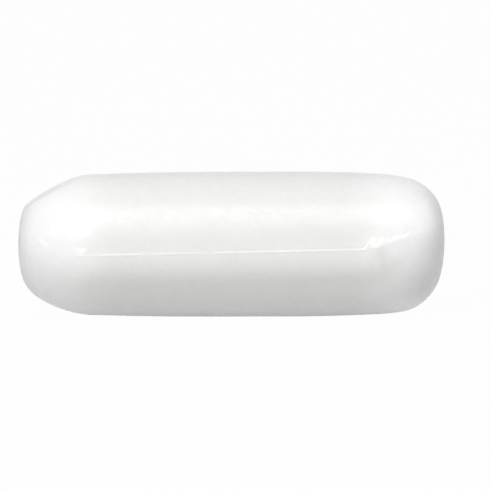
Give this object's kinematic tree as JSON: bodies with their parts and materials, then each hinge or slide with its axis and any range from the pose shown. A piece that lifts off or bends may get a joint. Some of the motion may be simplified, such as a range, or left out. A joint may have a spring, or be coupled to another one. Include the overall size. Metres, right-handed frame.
{
  "type": "magnetic stir bar",
  "caption": "Plain cylindrical stir bar: a rod magnet sealed inside a smooth white PTFE jacket with blunt domed ends, spun in a vessel by a magnetic stirrer.",
  "frame": {"origin": "middle of the bar, on its axis", "axes": "+X along the bar's axis towards the end with the plain round corner; +Z square to that axis and about square to the plane where the mould halves met, towards the side on which the other end's corner is pressed flat"},
  "size_m": [0.015, 0.0052, 0.0051],
  "materials": {
    "ptfe_jacket": "moulded white PTFE, smooth and waxy, with a fine parting bead",
    "cast_magnet": "cast aluminium-nickel-cobalt magnet, tumbled"
  },
  "bodies": {
    "root": {"jacket": "ptfe_jacket", "magnet": "cast_magnet"}
  },
  "joints": []
}
